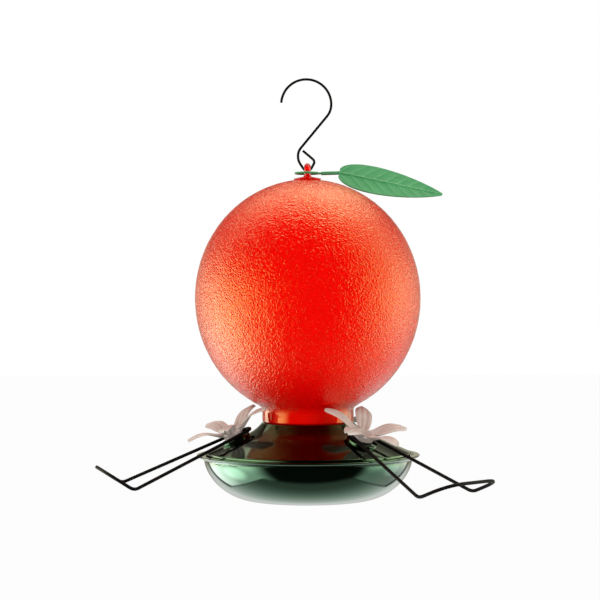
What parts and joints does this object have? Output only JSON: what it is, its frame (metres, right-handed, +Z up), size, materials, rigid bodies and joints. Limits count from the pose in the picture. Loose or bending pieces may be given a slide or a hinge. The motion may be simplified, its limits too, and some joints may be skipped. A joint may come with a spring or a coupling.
{
  "type": "hanging oriole feeder",
  "caption": "Hanging bird feeder: an inverted glass globe on a shallow nectar base with flower-shaped feeding ports and bent wire perches, hung by an open hook.",
  "frame": {"origin": "inside top of the hook's upper bend, where the feeder hangs", "axes": "+Z up along the globe's axis, +X to the right of the picture, -Y towards the camera"},
  "size_m": [0.23, 0.2271, 0.2527],
  "materials": {
    "black_wire": "satin black enamel on steel wire",
    "red_glass": "orange-red hammered glass",
    "leaf_green": "satin green paint",
    "seal": "soft, pale",
    "seal_dark": "soft, dark",
    "socket_green": "plain moulded",
    "base_green": "high gloss with a metallic look",
    "bush": "soft",
    "petal": "soft sheen"
  },
  "bodies": {
    "hook": {"hook": "black_wire"},
    "bottle": {"bottle": "red_glass"},
    "leaf": {"leaf": "leaf_green"},
    "neck_seal": {"neck_seal": "seal"},
    "base": {"base_cover": "base_green", "threaded_socket": "socket_green", "tray_seal": "seal_dark", "port_bush_1": "bush", "port_bush_2": "bush", "port_bush_3": "bush", "flower_1": "petal", "flower_2": "petal", "flower_3": "petal"},
    "tray": {"tray": "base_green"},
    "perch_1": {"perch_1": "black_wire"},
    "perch_2": {"perch_2": "black_wire"},
    "perch_3": {"perch_3": "black_wire"}
  },
  "joints": [
    {"name": "hang_swing", "type": "hinge", "parent": "hook", "child": "bottle", "pos_m": [0, 0, -0.05427], "axis": [1, 0, 0], "range_deg": [-30, 30]},
    {"name": "leaf_turn", "type": "hinge", "parent": "bottle", "child": "leaf", "pos_m": [0, 0, -0.05557], "axis": [0, 0, 1], "continuous": true},
    {"name": "base_drop", "type": "slide", "parent": "bottle", "child": "neck_seal", "axis": [0, 0, -1], "range_m": [0, 0.012]},
    {"name": "base_turn", "type": "hinge", "parent": "neck_seal", "child": "base", "pos_m": [0, 0, -0.215], "axis": [0, 0, -1], "range_deg": [0, 720]},
    {"name": "tray_pull", "type": "slide", "parent": "base", "child": "tray", "axis": [0, 0, -1], "range_m": [0, 0.03]},
    {"name": "perch_1_swivel", "type": "hinge", "parent": "base", "child": "perch_1", "pos_m": [0.03191, -0.03247, -0.21215], "axis": [0.2851, -0.2901, 0.9135], "range_deg": [-35, 35]},
    {"name": "perch_2_swivel", "type": "hinge", "parent": "base", "child": "perch_2", "pos_m": [-0.04408, -0.0114, -0.21215], "axis": [-0.3938, -0.1018, 0.9135], "range_deg": [-35, 35]},
    {"name": "perch_3_swivel", "type": "hinge", "parent": "base", "child": "perch_3", "pos_m": [0.01217, 0.04387, -0.21215], "axis": [0.1087, 0.3919, 0.9135], "range_deg": [-35, 35]}
  ],
  "couplings": [
    {"joint": "base_drop", "follows": "base_turn", "m_per_rad": 0.00095493}
  ]
}
